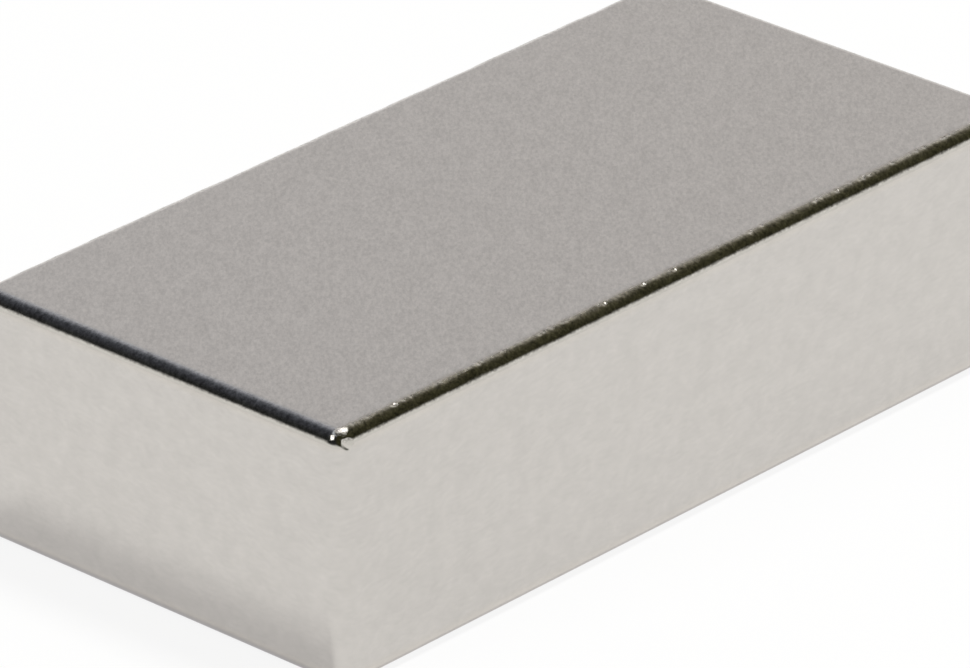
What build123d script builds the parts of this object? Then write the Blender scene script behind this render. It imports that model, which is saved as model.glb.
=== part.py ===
from math import cos, radians, sin, sqrt
import os

from build123d import *

# A sintered block magnet: one block, pressed, ground flat on its six faces, tumbled and plated.
# The origin is the middle of the lower pole face. +X runs along the length, +Y across the width
# and +Z up through the thickness, which is the direction that the block is magnetised in.

# Driving dimensions, in millimetres and degrees
block_length = 50.0
block_width = 25.0
block_thickness = 13.7
edge_radius = 0.9  # tumbling rounds all twelve edges alike, so the corners are balls

# The nick is a shallow round dent in one upper corner, where the block has knocked against another
nick_from_end = 0.97  # from the block's end to the middle of the nick, along the long upper edge
nick_turn = 18.0  # how far round the edge the nick sits, from 0 on the side to 90 on the pole face
nick_depth = 0.15  # how far it bites into the rounded edge
nick_tool_radius = 0.75  # radius of the round thing that pressed it

with BuildPart() as magnet_block:
    with BuildSketch(Plane.XY):
        Rectangle(block_length, block_width)
    extrude(amount=block_thickness)
    fillet(magnet_block.edges(), radius=edge_radius)

    # The nick is pressed square to the rounded edge, so it stays there whatever the block's size
    facing = Vector(0, -cos(radians(nick_turn)), sin(radians(nick_turn)))
    edge_centre = Vector(
        -block_length / 2 + nick_from_end,
        -block_width / 2 + edge_radius,
        block_thickness - edge_radius,
    )
    with Locations(edge_centre + facing * (edge_radius + nick_tool_radius - nick_depth)):
        Sphere(nick_tool_radius, mode=Mode.SUBTRACT)

magnet_block.part.label = "magnet_block"

os.makedirs("parts", exist_ok=True)
export_step(magnet_block.part, "parts/magnet_block.step")

nick_span = 2 * sqrt(nick_tool_radius**2 - (nick_tool_radius - nick_depth) ** 2)
print(f"volume {magnet_block.part.volume:.1f} mm3, nick at most {nick_span:.2f} mm across")
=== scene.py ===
# Block magnet: a plated, tumbled block on a pale floor. Lengths are in metres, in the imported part's frame.
import math
import bmesh
import bpy
import numpy as np
from mathutils import Matrix, Quaternion, Vector


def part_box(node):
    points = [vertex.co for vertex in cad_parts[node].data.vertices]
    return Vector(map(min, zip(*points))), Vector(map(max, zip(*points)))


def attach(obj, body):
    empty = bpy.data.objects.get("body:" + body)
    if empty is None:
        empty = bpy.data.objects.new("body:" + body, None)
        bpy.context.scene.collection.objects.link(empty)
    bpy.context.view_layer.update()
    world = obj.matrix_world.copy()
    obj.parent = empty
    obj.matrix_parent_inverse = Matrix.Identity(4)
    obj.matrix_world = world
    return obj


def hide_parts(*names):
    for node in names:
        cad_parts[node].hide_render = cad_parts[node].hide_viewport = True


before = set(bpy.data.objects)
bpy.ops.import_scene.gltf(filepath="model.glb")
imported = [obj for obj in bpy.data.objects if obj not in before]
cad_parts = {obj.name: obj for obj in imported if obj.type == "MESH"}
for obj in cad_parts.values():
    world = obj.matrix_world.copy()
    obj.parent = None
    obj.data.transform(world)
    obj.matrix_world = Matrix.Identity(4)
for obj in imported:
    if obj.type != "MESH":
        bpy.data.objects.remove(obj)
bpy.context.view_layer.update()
blockLow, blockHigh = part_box("magnet_block")
blockSize = blockHigh - blockLow
blockLength, blockWidth, blockThickness = blockSize
print("frame loaded, block", [round(1000 * size, 2) for size in blockSize], "mm")

scene = bpy.context.scene
mm = 0.001

# kinds of shader node, and settings that several of them share
mathNode = "ShaderNodeMath"
vectorNode = "ShaderNodeVectorMath"
rangeNode = "ShaderNodeMapRange"
mixNode = "ShaderNodeMix"
mappingNode = "ShaderNodeMapping"
noiseNode = "ShaderNodeTexNoise"
number = {"data_type": "FLOAT"}  # a Mix node's inputs are 2 and 3 for numbers, 6 and 7 for colours
hue = {"data_type": "RGBA"}
smooth = {"interpolation_type": "SMOOTHSTEP"}


def linear(hexColour):
    # sRGB hex to linear light: a straight part near black, a 2.4 power above it
    channels = [int(hexColour[i:i + 2], 16) / 255 for i in (1, 3, 5)]
    return tuple(c / 12.92 if c <= 0.04045 else ((c + 0.055) / 1.055) ** 2.4 for c in channels) + (1.0,)


def addNode(tree, kind, settings=None, links=None):
    # a node with its properties and socket values set, and its inputs linked, by socket name or number
    node = tree.nodes.new(kind)
    for key, value in (settings or {}).items():
        if isinstance(key, str) and hasattr(node, key):
            setattr(node, key, value)
        else:
            node.inputs[key].default_value = value
    for key, source in (links or {}).items():
        tree.links.new(source, node.inputs[key])
    return node


# The block's surface

blockShape = {
    "edgeRadius": 0.9 * mm,  # tumbled round of all twelve edges
    "sideCells": (960, 160, 480, 160),  # cells along -Y, +X, +Y and -X; the near long side has the nick
    "cornerSteps": (12, 12, 12, 32),  # cells round the upright corner that ends each of those sides
    "upperSteps": 32,  # rows down the upper rounds, which carry the wear
    "lowerSteps": 8,
    # rows this far below the upper round, besides one halfway down the side
    "sideRows": (0.045 * mm, 0.09 * mm, 0.15 * mm, 0.3 * mm, 0.8 * mm),
    "faceRings": (0.25 * mm, 0.4 * mm, 0.6 * mm, 0.9 * mm, 1.3 * mm, 1.9 * mm),  # insets on the pole faces
}

edgeWear = {
    # places round the edge are in degrees, 0 at the side and 90 on the pole face
    "seed": 7,
    "swell": (0.009 * mm, 1.2 * mm, 4.5 * mm),  # long upper rounds: depth, shortest and longest wave
    "chatter": (0.0016 * mm, 0.3 * mm, 0.9 * mm),
    "waveTurn": (30, 64, 90),  # where those two begin, are full and end
    "waveCount": 40,  # sine waves in each of them
    "shortShare": 0.12,  # the short edges are that much cleaner
    # how far across the length an edge faces, as a sine, where it begins to count as long and fully does
    "longSide": (0.6, 0.95),
    "fray": (0.0010 * mm, 0.15 * mm, 0.5 * mm),  # low on the upper rounds, where they meet the sides
    "frayTurn": (6, 16, 24, 40),  # where it begins, is full, starts to fade and ends
    "frayCount": 60,
    "pitCount": 48,  # pits along each long upper edge, which catch the lamps
    "pitEnd": 1.4 * mm,  # no pit is nearer to the block's ends
    "pitDepth": (0.016 * mm, 0.031 * mm),
    "pitRadius": (0.055 * mm, 0.085 * mm),
    "pitTurn": (69.0, 80.0),
    "pitStrip": (1.3, 30),  # pits only reach this far in, in edge radii, and only from this place on up
}

cornerMarks = {
    # a rub high on the corner, which catches a lamp: the compass and height angle that it faces, its middle,
    # from the corner ball's, and the radii of its bulge, along a level line and up it
    "wornFlat": ((-108.0, 65.1), (0.018 * mm, -0.334 * mm, 0.790 * mm), (6.0 * mm, 5.0 * mm)),
    # the nick, from a knock
    "nickFlat": ((-102.0, 22.0), (-0.161 * mm, -0.758 * mm, 0.313 * mm), (50.0 * mm, 50.0 * mm)),
    "levelWay": -20.0,  # compass angle of that level line
    "flatReach": 0.7 * mm,  # no flat goes farther from its middle
    "flatSquare": 0.6,  # nor to where the surface turns away from its facing, as a cosine
    "scratchMiddle": (0.28 * mm, -0.66 * mm, 0.62 * mm),  # a scratch curls round this point, from the ball's
    "scratchRadius": 0.73 * mm,
    "scratchSide": (-169.0, -44.0),  # compass and height angle of the side that it lies on
    "scratchFade": (0.55, 0.8),  # cosine of the angle from that side where its end begins and is full
    "scratchDepth": 0.050 * mm,
    "scratchWidth": 0.085 * mm,
}


def smoothStep(low, high, x):
    # 0 below low and 1 above high, with an S curve between: three squares less two cubes
    t = np.clip((x - low) / (high - low), 0, 1)
    return t * t * (3 - 2 * t)


def innerCorners(halfX, halfY):
    return np.array([(-halfX, -halfY), (halfX, -halfY), (halfX, halfY), (-halfX, halfY)])


def bandPlan(shape, halfX, halfY):
    # the walk round the block: along each side of the inner rectangle, then on the spot at its corner while
    # the outward direction turns a quarter; gives the walk's centres and outward directions
    corners = innerCorners(halfX, halfY)
    centres, outward = [], []
    for side, (cells, steps) in enumerate(zip(shape["sideCells"], shape["cornerSteps"])):
        start, end = corners[side], corners[(side + 1) % 4]
        walk = np.linspace(0, 1, cells + 1)[:, None]
        angle = math.radians(90 * side - 90)
        turn = angle + math.pi / 2 * np.arange(1, steps) / steps
        centres += [start + (end - start) * walk, np.tile(end, (steps - 1, 1))]
        straight = np.tile((math.cos(angle), math.sin(angle)), (cells + 1, 1))
        outward += [straight, np.stack([np.cos(turn), np.sin(turn)], 1)]
    return np.concatenate(centres), np.concatenate(outward)


def bandProfile(shape):
    # height and lean of each row: a quarter circle down from the upper pole face, rows down the side, and a
    # quarter circle in to the lower pole face; lean is the angle at which the surface faces up
    radius = shape["edgeRadius"]
    top, bottom = blockHigh.z - radius, blockLow.z + radius
    upper = math.pi / 2 * np.arange(shape["upperSteps"], -1, -1) / shape["upperSteps"]
    lower = -math.pi / 2 * np.arange(shape["lowerSteps"] + 1) / shape["lowerSteps"]
    side = [top - drop for drop in shape["sideRows"]] + [(top + bottom) / 2]
    lean = np.concatenate([upper, np.zeros(len(side)), lower])
    height = np.concatenate([top + radius * np.sin(upper), side, bottom + radius * np.sin(lower)])
    return height, lean


def gridFaces(rows, columns, closed):
    # quads of a rows x columns grid of points, the columns joined up in a ring where closed
    rowStart = np.arange(rows - 1)[:, None] * columns
    nextStart = rowStart + columns
    column = np.arange(columns if closed else columns - 1)[None, :]
    beside = (column + 1) % columns
    quad = [rowStart + column, rowStart + beside, nextStart + beside, nextStart + column]
    return np.stack(quad, -1).reshape(-1, 4)


def rectangleRing(halfX, halfY, sideCells):
    # even steps along each side of a rectangle, each corner once
    corners = innerCorners(halfX, halfY)
    sides = [
        corners[side] + (corners[(side + 1) % 4] - corners[side]) * np.linspace(0, 1, cells + 1)[:-1, None]
        for side, cells in enumerate(sideCells)
    ]
    return np.concatenate(sides)


def ringFaces(outerCells, innerCells, outerFirst, innerFirst):
    # between two rings: quads where a side keeps its cells, three triangles for two cells where they halve
    outerCount, innerCount = sum(outerCells), sum(innerCells)
    faces = []
    outerAt = innerAt = 0
    for many, few in zip(outerCells, innerCells):
        outer = outerFirst + (outerAt + np.arange(many + 1)) % outerCount
        inner = innerFirst + (innerAt + np.arange(few + 1)) % innerCount
        if many == few:
            faces.append(np.stack([outer[:-1], outer[1:], inner[1:], inner[:-1]], 1))
        else:
            middle = outer[1::2]
            faces.append(np.stack([outer[:-1:2], middle, inner[:-1]], 1))
            faces.append(np.stack([middle, inner[1:], inner[:-1]], 1))
            faces.append(np.stack([middle, outer[2::2], inner[1:]], 1))
        outerAt += many
        innerAt += few
    return faces


def poleFace(shape, halfX, halfY, height):
    # flat rings in from the round, then an even grid; the first ring keeps the round's cells, the second has
    # half of the near long side's, and each one after it half of all
    cells = shape["sideCells"]
    points = [rectangleRing(halfX, halfY, cells)]
    faces, first = [], 0
    for level, inset in enumerate(shape["faceRings"]):
        if level == 0:
            inner = cells
        elif level == 1:
            inner = (cells[0] // 2,) + cells[1:]
        else:
            inner = tuple(n // 2 for n in cells)
        points.append(rectangleRing(halfX - inset, halfY - inset, inner))
        faces += ringFaces(cells, inner, first, first + sum(cells))
        first += sum(cells)
        cells = inner
    x = np.linspace(-(halfX - inset), halfX - inset, cells[0] + 1)
    y = np.linspace(-(halfY - inset), halfY - inset, cells[1] + 1)
    start = sum(len(ring) for ring in points)
    points.append(np.stack(np.meshgrid(x, y), -1).reshape(-1, 2))
    faces.append(gridFaces(len(y), len(x), closed=False) + start)
    flat = np.concatenate(points)
    return np.column_stack([flat, np.full(len(flat), height)]), faces


def ripple(points, wave, count, seed):
    # unevenness: a sum of sine waves in random directions with lengths between the two given, spread = depth
    depth, shortest, longest = wave
    rng = np.random.default_rng(seed)
    direction = rng.normal(size=(count, 3))
    direction /= np.linalg.norm(direction, axis=1, keepdims=True)
    length = shortest * (longest / shortest) ** rng.random(count)
    phase = rng.random(count) * 2 * math.pi
    waves = direction * (2 * math.pi / length)[:, None]
    return depth * math.sqrt(2 / count) * np.sin(points @ waves.T + phase).sum(1)


def aim(compass, height):
    # unit vector at a compass angle from +X and a height angle
    turn, rise = math.radians(compass), math.radians(height)
    return np.array([math.cos(turn) * math.cos(rise), math.sin(turn) * math.cos(rise), math.sin(rise)])


def edgeSink(points, normals, wear):
    # how far each point of the upper rounds sinks along its normal: two ripples that fade out at the side
    # and at the pole face, a finer one low down, and pits
    radius = blockShape["edgeRadius"]
    turn = np.degrees(np.arcsin(np.clip(normals[:, 2], -1, 1)))
    waveStart, waveFull, waveEnd = wear["waveTurn"]
    onRound = smoothStep(waveStart, waveFull, turn) * (1 - smoothStep(waveFull, waveEnd, turn))
    sideways = np.maximum(np.hypot(normals[:, 0], normals[:, 1]), 1e-9)
    longSide = smoothStep(*wear["longSide"], np.abs(normals[:, 1]) / sideways)
    share = wear["shortShare"] + (1 - wear["shortShare"]) * longSide
    swell = ripple(points, wear["swell"], wear["waveCount"], wear["seed"])
    chatter = ripple(points, wear["chatter"], wear["waveCount"], wear["seed"] + 1)
    fray = ripple(points, wear["fray"], wear["frayCount"], wear["seed"] + 3)
    frayStart, frayFull, frayFade, frayEnd = wear["frayTurn"]
    low = smoothStep(frayStart, frayFull, turn) * (1 - smoothStep(frayFade, frayEnd, turn))
    sink = onRound * share * (swell + chatter) + low * fray

    # each pit is a bell-shaped hollow, worked out only for the points near the long edge that it is on
    rng = np.random.default_rng(wear["seed"] + 2)
    stripWidth, stripStart = wear["pitStrip"]
    for side in (-1, 1):
        along = rng.uniform(blockLow.x + wear["pitEnd"], blockHigh.x - wear["pitEnd"], wear["pitCount"])
        turned = np.radians(rng.uniform(*wear["pitTurn"], wear["pitCount"]))
        depth = rng.uniform(*wear["pitDepth"], wear["pitCount"])
        spread = rng.uniform(*wear["pitRadius"], wear["pitCount"])
        acrossAt = side * (blockHigh.y - radius + radius * np.cos(turned))
        heightAt = blockHigh.z - radius + radius * np.sin(turned)
        inStrip = (side * points[:, 1] > blockHigh.y - stripWidth * radius) & (turn > stripStart)
        near = np.flatnonzero(inStrip)
        for x, y, z, d, s in zip(along, acrossAt, heightAt, depth, spread):
            away = ((points[near] - (x, y, z)) ** 2).sum(1)
            sink[near] += d * np.exp(-away / (2 * s * s))
    return sink


def cornerSink(points, normals, marks, sink):
    # flats: what stands above a shallow dome is pushed along its normal down to it, and the dome falls away
    # by distance squared over twice its radius; scratch: a bell-shaped groove at one distance from a point,
    # on one side of it
    radius = blockShape["edgeRadius"]
    fromBall = points - (blockLow.x + radius, blockLow.y + radius, blockHigh.z - radius)
    for flat in ("wornFlat", "nickFlat"):
        angles, middle, bulge = marks[flat]
        facing = aim(*angles)
        steep = np.cross(facing, aim(marks["levelWay"], 0))
        steep /= np.linalg.norm(steep)
        level = np.cross(steep, facing)
        away = fromBall - middle
        above = away @ facing + (away @ level) ** 2 / (2 * bulge[0]) + (away @ steep) ** 2 / (2 * bulge[1])
        square = normals @ facing
        near = np.linalg.norm(away, axis=1) < marks["flatReach"]
        cut = (above > 0) & (square > marks["flatSquare"]) & near
        sink = np.where(cut, np.maximum(sink, above / np.maximum(square, marks["flatSquare"])), sink)

    away = fromBall - marks["scratchMiddle"]
    apart = np.linalg.norm(away, axis=1)
    sideShare = away @ aim(*marks["scratchSide"]) / np.maximum(apart, 1e-9)
    groove = np.exp(-((apart - marks["scratchRadius"]) / marks["scratchWidth"]) ** 2 / 2)
    return sink + marks["scratchDepth"] * groove * smoothStep(*marks["scratchFade"], sideShare)


def makeBlock(shape, wear, marks):
    # the profile (round, side, round) carried round the block and closed by the two ringed pole faces
    radius = shape["edgeRadius"]
    halfX, halfY = blockLength / 2 - radius, blockWidth / 2 - radius
    centres, outward = bandPlan(shape, halfX, halfY)
    heights, leans = bandProfile(shape)
    size = (len(heights), len(centres), 1)
    sideways = np.cos(leans)[:, None, None] * outward[None]
    rowHeights = np.broadcast_to(heights[:, None, None], size)
    rowRises = np.broadcast_to(np.sin(leans)[:, None, None], size)
    band = np.concatenate([centres[None] + radius * sideways, rowHeights], -1)
    bandNormals = np.concatenate([sideways, rowRises], -1)
    upper, upperFaces = poleFace(shape, halfX, halfY, blockHigh.z)
    lower, lowerFaces = poleFace(shape, halfX, halfY, blockLow.z)
    points = np.concatenate([band.reshape(-1, 3), upper, lower])
    up = np.tile((0.0, 0.0, 1.0), (len(upper), 1))
    normals = np.concatenate([bandNormals.reshape(-1, 3), up, -up])
    sink = cornerSink(points, normals, marks, edgeSink(points, normals, wear))
    points = points - normals * sink[:, None]

    first = len(heights) * len(centres)
    faces = gridFaces(len(heights), len(centres), closed=True)[:, ::-1].tolist()
    for part in upperFaces:
        faces += (part + first).tolist()
    for part in lowerFaces:
        faces += (part[:, ::-1] + first + len(upper)).tolist()

    mesh = bpy.data.meshes.new("plated_block")
    mesh.from_pydata(points.tolist(), [], faces)
    work = bmesh.new()
    work.from_mesh(mesh)
    # closes the corners and the pole faces' rims
    bmesh.ops.remove_doubles(work, verts=work.verts, dist=1e-7)
    for face in work.faces:
        face.smooth = True
    openEdges = sum(1 for edge in work.edges if not edge.is_manifold)
    triangles = sum(len(face.verts) - 2 for face in work.faces)
    volume = round(work.calc_volume() / mm ** 3, 1)
    print("block mesh:", triangles, "triangles,", openEdges, "open edges,", volume, "mm3")
    work.to_mesh(mesh)
    work.free()
    piece = bpy.data.objects.new("plated_block", mesh)
    scene.collection.objects.link(piece)
    return piece


# Nickel

nickelLook = {
    "edge": "#D2CEC6",  # bright nickel on the tumbled rounds, a little warm
    "side": "#D1CEC8",
    "pole": "#D3CDC9",  # the ground faces look more neutral
    "footShade": "#AEABA9",  # painted shade: the lower rounds of the ends, darkened where they mirror the shaded floor at the block's foot
    "edgeRough": 0.13,
    "sideRough": 0.20,
    "poleRough": 0.36,
    # where each finish and the painted shade at the foot begin and are full, in edge radii
    "poleFrom": (0.5, 1.0),  # in from the nearest side
    "roundFrom": (1.2, 0.7),  # down from the upper pole face or up from the lower one
    "speckFrom": (0.66, 0.46),  # down from the upper pole face
    # the painted shade at the foot goes by these two: low on the block, and away from the long sides
    "footShadeFrom": (0.9, 0.4),  # up from the lower pole face
    "endFrom": (0.8, 1.3),  # in from the nearest long side
    "grain": 0.17 * mm,  # the real grain is near 0.03 mm; drawn as coarse as it needs to show
    "grainMix": 0.7,  # share of the finer grain in the coarse
    "grainTone": 0.22,
    "grainBump": 0.2,
    "grainDepth": 0.3,  # of its size
    "grainWay": 43.7,  # compass angle that the grain is drawn longer along
    "grainStretch": 2,
    "speck": 0.25 * mm,  # pores and specks on the upper rounds, drawn coarser like the grain
    "speckMix": 0.75,
    "speckTone": 1.1,
    "streakLength": 0.5 * mm,
    "streakWidth": 0.2 * mm,
    "streakTone": 0.045,
    "cloud": 0.9 * mm,
    "cloudTone": 0.06,
    "patternSpan": (0.3, 0.7),  # most of each noise lies between these
}


def satinNickel(look):
    # bright nickel plated over a sintered block: the ground pole faces keep a sandy satin, the sides a
    # softer one with faint streaks from the grinding, and the tumbled rounds are nearly mirrors; the lower
    # rounds of the ends carry painted shade
    material = bpy.data.materials.new("satinNickelPlating")
    material.use_nodes = True
    tree = material.node_tree
    tree.nodes.clear()
    place = addNode(tree, "ShaderNodeTexCoord").outputs["Object"]
    axes = addNode(tree, "ShaderNodeSeparateXYZ", links={0: place}).outputs

    # how far in from the ends and from the long sides: 0 on a side, the edge radius where a round ends
    offX = addNode(tree, mathNode, {"operation": "ABSOLUTE"}, {0: axes["X"]}).outputs[0]
    offY = addNode(tree, mathNode, {"operation": "ABSOLUTE"}, {0: axes["Y"]}).outputs[0]
    insetX = addNode(tree, mathNode, {"operation": "SUBTRACT", 0: blockLength / 2}, {1: offX}).outputs[0]
    insetY = addNode(tree, mathNode, {"operation": "SUBTRACT", 0: blockWidth / 2}, {1: offY}).outputs[0]
    inset = addNode(tree, mathNode, {"operation": "MINIMUM"}, {0: insetX, 1: insetY}).outputs[0]

    # height from the middle, up and either way
    middle = float(blockHigh.z + blockLow.z) / 2
    height = addNode(tree, mathNode, {"operation": "SUBTRACT", 1: middle}, {0: axes["Z"]}).outputs[0]
    offMiddle = addNode(tree, mathNode, {"operation": "ABSOLUTE"}, {0: height}).outputs[0]

    # each finish's mask, and the painted shade's: which distance it goes by, where that is counted from, and
    # which way
    half = blockThickness / 2
    distances = {
        "pole": (inset, 0, 1),
        "round": (offMiddle, half, -1),
        "speck": (height, half, -1),
        "footShade": (height, -half, 1),
        "end": (insetY, 0, 1),
    }
    masks = {}
    for name, (distance, start, way) in distances.items():
        begins, full = [start + way * share * blockShape["edgeRadius"] for share in look[name + "From"]]
        rise = smooth | {"From Min": begins, "From Max": full}
        masks[name] = addNode(tree, rangeNode, rise, {"Value": distance}).outputs["Result"]
    # painted shade: only on the lower rounds of the ends
    footShadeMasks = {0: masks["footShade"], 1: masks["end"]}
    footShadeMask = addNode(tree, mathNode, {"operation": "MULTIPLY"}, footShadeMasks).outputs[0]

    # grain and clouds, drawn longer away from the camera so that they look as coarse that way as across;
    # short streaks on the sides and specks on the upper rounds
    turned = (0, 0, math.radians(look["grainWay"]))
    longer = {"vector_type": "TEXTURE", "Rotation": turned, "Scale": (look["grainStretch"], 1, 1)}
    ground = addNode(tree, mappingNode, longer, {"Vector": place}).outputs[0]
    grainSize = {"Scale": 1 / look["grain"], "Detail": 2.0, "Roughness": look["grainMix"]}
    grain = addNode(tree, noiseNode, grainSize, {"Vector": ground}).outputs["Fac"]
    speckSize = {"Scale": 1 / look["speck"], "Detail": 3.0, "Roughness": look["speckMix"]}
    speck = addNode(tree, noiseNode, speckSize, {"Vector": place}).outputs["Fac"]
    cloudSize = {"Scale": 1 / look["cloud"], "Detail": 3.0}
    cloud = addNode(tree, noiseNode, cloudSize, {"Vector": ground}).outputs["Fac"]
    stretch = (1 / look["streakLength"], 1 / look["streakLength"], 1 / look["streakWidth"])
    stretched = addNode(tree, mappingNode, {"Scale": stretch}, {"Vector": place}).outputs[0]
    streak = addNode(tree, noiseNode, {"Scale": 1.0, "Detail": 2.0}, {"Vector": stretched}).outputs["Fac"]

    # each pattern swings the tone about 1 by its own share
    patterns = {"grainTone": grain, "speckTone": speck, "cloudTone": cloud, "streakTone": streak}
    low, high = look["patternSpan"]
    tones = {}
    for name, pattern in patterns.items():
        share = look[name] / 2
        swing = {"From Min": low, "From Max": high, "To Min": 1 - share, "To Max": 1 + share}
        tones[name] = addNode(tree, rangeNode, swing, {"Value": pattern}).outputs["Result"]
    sideTones = {0: masks["speck"], 2: tones["streakTone"], 3: tones["speckTone"]}
    sideTone = addNode(tree, mixNode, number, sideTones).outputs[0]
    faceTones = {0: masks["pole"], 2: sideTone, 3: tones["grainTone"]}
    faceTone = addNode(tree, mixNode, number, faceTones).outputs[0]
    bothTones = {0: faceTone, 1: tones["cloudTone"]}
    tone = addNode(tree, mathNode, {"operation": "MULTIPLY"}, bothTones).outputs[0]

    sideColours = hue | {6: linear(look["side"]), 7: linear(look["edge"])}
    sideColour = addNode(tree, mixNode, sideColours, {0: masks["round"]}).outputs[2]
    # painted shade: the lower rounds of the ends take the darker foot colour in place of the shaded floor
    # that they mirror
    footShadeColour = hue | {7: linear(look["footShade"])}
    footShaded = addNode(tree, mixNode, footShadeColour, {0: footShadeMask, 6: sideColour}).outputs[2]
    poleColour = hue | {7: linear(look["pole"])}
    plain = addNode(tree, mixNode, poleColour, {0: masks["pole"], 6: footShaded}).outputs[2]
    colour = addNode(tree, vectorNode, {"operation": "SCALE"}, {0: plain, "Scale": tone}).outputs[0]

    sideRoughs = number | {2: look["sideRough"], 3: look["edgeRough"]}
    sideRough = addNode(tree, mixNode, sideRoughs, {0: masks["round"]}).outputs[0]
    poleRough = number | {3: look["poleRough"]}
    rough = addNode(tree, mixNode, poleRough, {0: masks["pole"], 2: sideRough}).outputs[0]
    relief = addNode(tree, mathNode, {"operation": "MULTIPLY"}, {0: grain, 1: masks["pole"]}).outputs[0]
    bumpSize = {"Strength": look["grainBump"], "Distance": look["grainDepth"] * look["grain"]}
    bump = addNode(tree, "ShaderNodeBump", bumpSize, {"Height": relief}).outputs[0]

    surface = {"Base Color": colour, "Roughness": rough, "Normal": bump}
    metal = addNode(tree, "ShaderNodeBsdfPrincipled", {"Metallic": 1.0}, surface)
    addNode(tree, "ShaderNodeOutputMaterial", links={"Surface": metal.outputs[0]})
    return material


block = makeBlock(blockShape, edgeWear, cornerMarks)
block.data.materials.append(satinNickel(nickelLook))
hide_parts("magnet_block")
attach(block, "root")
print("block plated")


# Floor, light and camera

studio = {
    "floorSize": 4.0,
    "floorColour": "#F7F7F5",
    "seenWhite": 0.88,  # share of plain white that the camera sees in the floor
    "mirroredWhite": 0.60,  # share that metal sees, so that the block's foot isn't dirty with its own shade
    "mirroredFloor": "#F5F3F6",
    "paper": "#F0F0F0",  # what metal mirrors above the floor, up to the paper's soft edge
    "paperEdge": (0.16, 0.41),  # sine of the height angle where it begins and ends to fade
    "glowWay": 43.7,  # degrees from +X to the pale glow beyond the block
    "sideBlend": (-0.3, 0.3),  # sine of the angle left of it where the left colours begin and are full
    # room above the paper: how far towards the glow, the colour there on the left and on the right
    "room": (
        (0.00, "#232423", "#2F2E1E"),
        (0.25, "#393B43", "#3D3C2B"),
        (0.39, "#454850", "#4B493A"),
        (0.50, "#61656F", "#6D6A5D"),
        (0.62, "#9395A0", "#A3A098"),
        (0.75, "#C5CCD6", "#C6C5C0"),
        (0.88, "#D2D3D4", "#D1CFCB"),
    ),
    "panel": "#C2C8D2",  # a pale panel overhead, for the near corner and for views from above
    "panelWay": (88.0, 77.0),  # compass and height angle of its middle
    "panelEdge": (0.930, 0.970),  # cosine of the angle from its middle where it begins and is full
    "fill": 0.30,
    "fillColour": "#FFFDFA",
}


def paintStudio(look):
    # the camera sees white; metal sees white paper up to a soft level edge, above it a dim room that glows
    # beyond the block, and a pale panel overhead; everything else gets one even fill
    world = bpy.data.worlds.new("studio")
    scene.world = world
    world.use_nodes = True
    tree = world.node_tree
    tree.nodes.clear()
    way = addNode(tree, "ShaderNodeTexCoord").outputs["Generated"]
    height = addNode(tree, "ShaderNodeSeparateXYZ", links={0: way}).outputs["Z"]
    turn = look["glowWay"]
    aims = {"ahead": aim(turn, 0), "aside": aim(turn + 90, 0), "above": aim(*look["panelWay"])}
    toward = {}
    for name, direction in aims.items():
        dot = {"operation": "DOT_PRODUCT", 1: direction}
        toward[name] = addNode(tree, vectorNode, dot, {0: way}).outputs["Value"]
    edges = {"sideBlend": toward["aside"], "panelEdge": toward["above"], "paperEdge": height}
    shares = {}
    for name, measure in edges.items():
        edge = smooth | {"From Min": look[name][0], "From Max": look[name][1]}
        shares[name] = addNode(tree, rangeNode, edge, {"Value": measure}).outputs["Result"]

    walls = []
    for side in (1, 2):
        wall = addNode(tree, "ShaderNodeValToRGB", links={0: toward["ahead"]})
        stops = wall.color_ramp.elements
        while len(stops) < len(look["room"]):
            stops.new(1.0)
        for stop, entry in zip(stops, look["room"]):
            stop.position = entry[0]
            stop.color = linear(entry[side])
        walls.append(wall.outputs["Color"])
    room = addNode(tree, mixNode, hue, {0: shares["sideBlend"], 6: walls[1], 7: walls[0]}).outputs[2]
    panel = hue | {7: linear(look["panel"])}
    roofed = addNode(tree, mixNode, panel, {0: shares["panelEdge"], 6: room}).outputs[2]
    paper = hue | {6: linear(look["paper"])}
    mirrored = addNode(tree, mixNode, paper, {0: shares["paperEdge"], 7: roofed}).outputs[2]

    rays = addNode(tree, "ShaderNodeLightPath").outputs
    plain = {"Color": (1, 1, 1, 1), "Strength": 1.0}
    white = addNode(tree, "ShaderNodeBackground", plain).outputs[0]
    even = {"Color": linear(look["fillColour"]), "Strength": look["fill"]}
    fill = addNode(tree, "ShaderNodeBackground", even).outputs[0]
    seen = addNode(tree, "ShaderNodeBackground", {"Strength": 1.0}, {"Color": mirrored}).outputs[0]
    byMetal = {0: rays["Is Glossy Ray"], 1: fill, 2: seen}
    lit = addNode(tree, "ShaderNodeMixShader", links=byMetal).outputs[0]
    byCamera = {0: rays["Is Camera Ray"], 1: lit, 2: white}
    final = addNode(tree, "ShaderNodeMixShader", links=byCamera).outputs[0]
    addNode(tree, "ShaderNodeOutputWorld", links={"Surface": final})


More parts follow.
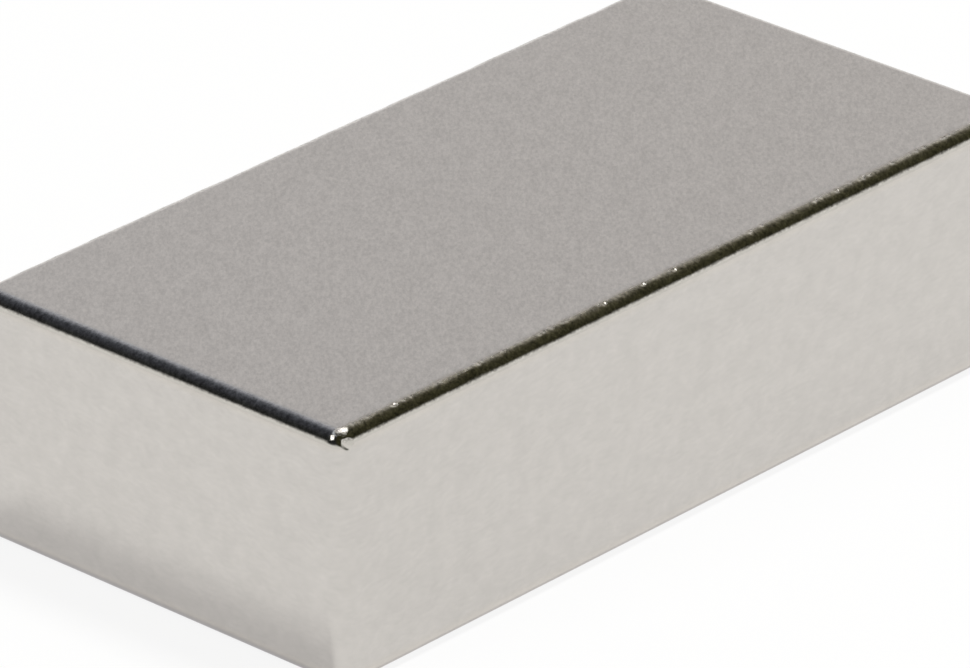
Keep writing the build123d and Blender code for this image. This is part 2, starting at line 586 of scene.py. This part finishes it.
def makeFloor(look):
    # a wide sheet of white paper; camera and metal see part of it as plain white, the rest holds the shadow
    half = look["floorSize"] / 2
    corners = [(-half, -half, 0), (half, -half, 0), (half, half, 0), (-half, half, 0)]
    mesh = bpy.data.meshes.new("floor")
    mesh.from_pydata(corners, [], [(0, 1, 2, 3)])
    floor = bpy.data.objects.new("floor", mesh)
    scene.collection.objects.link(floor)
    material = bpy.data.materials.new("whitePaper")
    material.use_nodes = True
    tree = material.node_tree
    tree.nodes.clear()
    paper = addNode(tree, "ShaderNodeBsdfDiffuse", {"Color": linear(look["floorColour"])}).outputs[0]
    plain = {"Color": (1, 1, 1, 1), "Strength": 1.0}
    white = addNode(tree, "ShaderNodeEmission", plain).outputs[0]
    tinted = {"Color": linear(look["mirroredFloor"]), "Strength": 1.0}
    mirroredWhite = addNode(tree, "ShaderNodeEmission", tinted).outputs[0]
    rays = addNode(tree, "ShaderNodeLightPath").outputs
    seenPart = {"operation": "MULTIPLY", 1: look["seenWhite"]}
    seenShare = addNode(tree, mathNode, seenPart, {0: rays["Is Camera Ray"]}).outputs[0]
    mirroredPart = {"operation": "MULTIPLY", 1: look["mirroredWhite"]}
    mirroredShare = addNode(tree, mathNode, mirroredPart, {0: rays["Is Glossy Ray"]}).outputs[0]
    byMetal = {0: mirroredShare, 1: paper, 2: mirroredWhite}
    mirrored = addNode(tree, "ShaderNodeMixShader", links=byMetal).outputs[0]
    byCamera = {0: seenShare, 1: mirrored, 2: white}
    final = addNode(tree, "ShaderNodeMixShader", links=byCamera).outputs[0]
    addNode(tree, "ShaderNodeOutputMaterial", links={"Surface": final})
    mesh.materials.append(material)


lamps = {
    # the overhead lamp lights the floor; metal sees the panel instead, which doesn't burn out
    "overhead": {"way": (-28.0, 75.3), "turn": 0.0, "size": (0.15, 0.22), "watts": 6.6, "mirrored": False},
    "left": {"way": (164.0, 54.5), "turn": 45.0, "size": (0.38, 0.56), "watts": 1.3, "mirrored": True},
    "right": {"way": (8.5, 63.8), "turn": 0.0, "size": (0.12, 0.12), "watts": 0.25, "mirrored": True},
}


def hangLamp(name, lamp):
    # a white soft box a metre off at a compass angle from +X and a height angle, facing the block and
    # turned on its own middle
    way = Vector(aim(*lamp["way"]))
    turned = way.to_track_quat("Z", "Y") @ Quaternion((0, 0, 1), math.radians(lamp["turn"]))
    data = bpy.data.lights.new(name, "AREA")
    data.shape = "RECTANGLE"
    data.size, data.size_y = lamp["size"]
    data.energy = lamp["watts"]
    light = bpy.data.objects.new(name, data)
    light.location = way
    light.rotation_euler = turned.to_euler()
    light.visible_glossy = lamp["mirrored"]
    scene.collection.objects.link(light)


photoView = {
    "azimuth": -46.34,  # degrees round from looking along +Y
    "elevation": 26.0,
    "roll": -1.02,
    "distance": 471 * mm,
    "target": (-1.05 * mm, 0.64 * mm, 6.2 * mm),
    "focalLength": 348.87,  # in millimetres, like the film's width
    "filmWidth": 36.0,
}


def placeCamera(view):
    turn, rise = math.radians(view["azimuth"]), math.radians(view["elevation"])
    back = Vector((math.sin(turn) * math.cos(rise), -math.cos(turn) * math.cos(rise), math.sin(rise)))
    data = bpy.data.cameras.new("camera")
    data.sensor_width = view["filmWidth"]
    data.lens = view["focalLength"]
    data.clip_start = 0.01
    data.clip_end = 20.0
    camera = bpy.data.objects.new("camera", data)
    place = Matrix.Translation(Vector(view["target"]) + back * view["distance"])
    spin = Matrix.Rotation(math.radians(view["roll"]), 4, "Z")
    camera.matrix_world = place @ back.to_track_quat("Z", "Y").to_matrix().to_4x4() @ spin
    scene.collection.objects.link(camera)
    scene.camera = camera


paintStudio(studio)
makeFloor(studio)
for name, lamp in lamps.items():
    hangLamp(name, lamp)
placeCamera(photoView)
scene.view_settings.view_transform = "Standard"
print("studio set")
